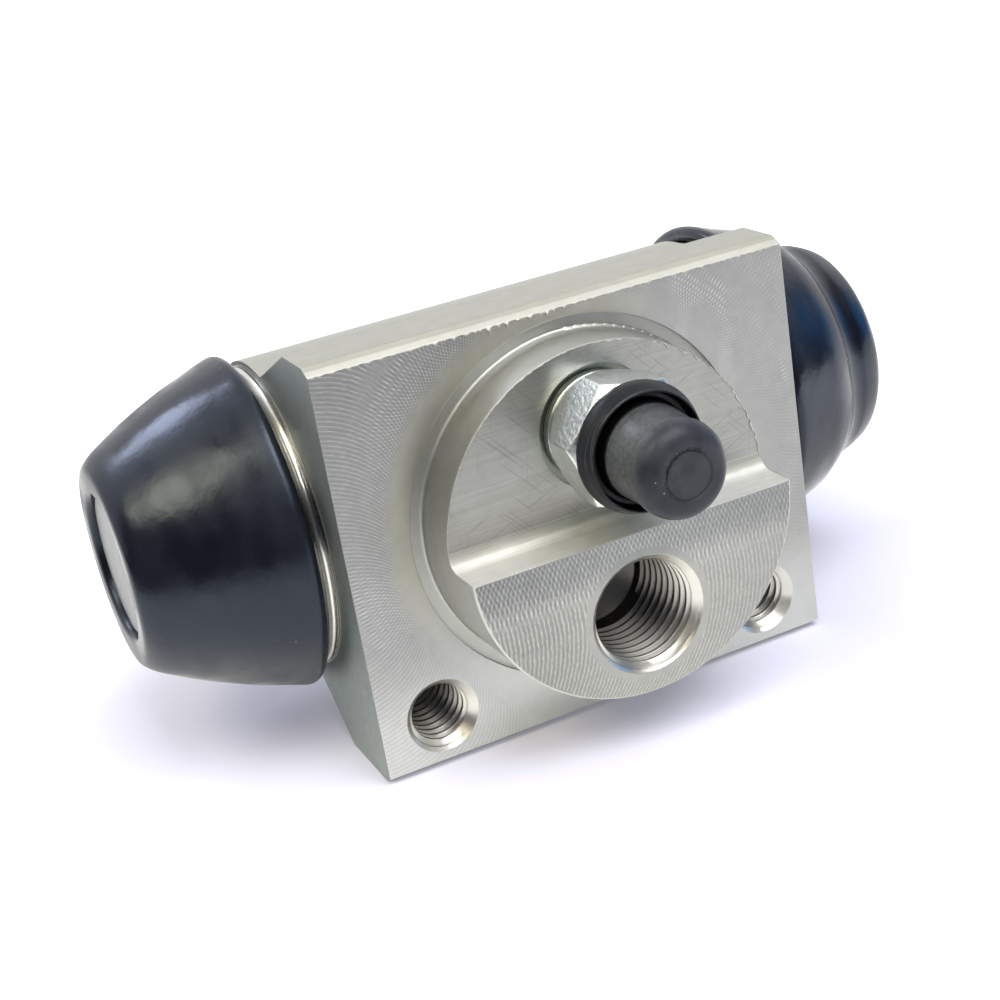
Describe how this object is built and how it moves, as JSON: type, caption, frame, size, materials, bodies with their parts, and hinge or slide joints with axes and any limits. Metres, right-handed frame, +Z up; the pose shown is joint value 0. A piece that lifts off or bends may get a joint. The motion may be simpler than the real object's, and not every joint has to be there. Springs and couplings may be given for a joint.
{
  "type": "wheel cylinder",
  "caption": "Hydraulic wheel cylinder for a drum brake: opposed pistons under rubber dust boots in a machined body with pilot boss, pipe port, fixing holes and bleeder.",
  "frame": {"origin": "centre of the round pilot boss, in the plane of the mounting face", "axes": "+X along the bore towards the right piston, -Y out of the mounting face through the boss, +Z up as fitted, bleeder above the pipe port"},
  "size_m": [0.074, 0.0516, 0.0373],
  "materials": {
    "body_aluminium": "milled and brushed",
    "piston_aluminium": "turned",
    "boot_rubber": "satin",
    "cap_rubber": "matt",
    "seal_rubber": "satin",
    "bleeder_steel": "zinc plated",
    "pressed_steel": "zinc plated",
    "spring_steel": "drawn wire"
  },
  "bodies": {
    "housing": {"cylinder_body": "body_aluminium", "left_dust_boot": "boot_rubber", "right_dust_boot": "boot_rubber", "return_spring": "spring_steel"},
    "left_plunger": {"left_piston": "piston_aluminium", "left_cup_seal": "seal_rubber", "left_cup_expander": "pressed_steel"},
    "right_plunger": {"right_piston": "piston_aluminium", "right_cup_seal": "seal_rubber", "right_cup_expander": "pressed_steel"},
    "bleeder": {"bleeder_screw": "bleeder_steel"},
    "cap": {"bleeder_cap": "cap_rubber"}
  },
  "joints": [
    {"name": "left_piston_slide", "type": "slide", "parent": "housing", "child": "left_plunger", "axis": [-1, 0, 0], "range_m": [-0.005, 0.004], "stiffness_N_per_m": 400, "deforming": ["left_dust_boot", "return_spring"]},
    {"name": "right_piston_slide", "type": "slide", "parent": "housing", "child": "right_plunger", "axis": [1, 0, 0], "range_m": [-0.0045, 0.0045], "stiffness_N_per_m": 400, "deforming": ["right_dust_boot", "return_spring"]},
    {"name": "bleeder_turn", "type": "hinge", "parent": "housing", "child": "bleeder", "pos_m": [0, 0, 0.00775], "axis": [0, -1, 0], "range_deg": [0, 360]},
    {"name": "cap_pull", "type": "slide", "parent": "bleeder", "child": "cap", "axis": [0, -1, 0], "range_m": [0, 0.015]}
  ]
}
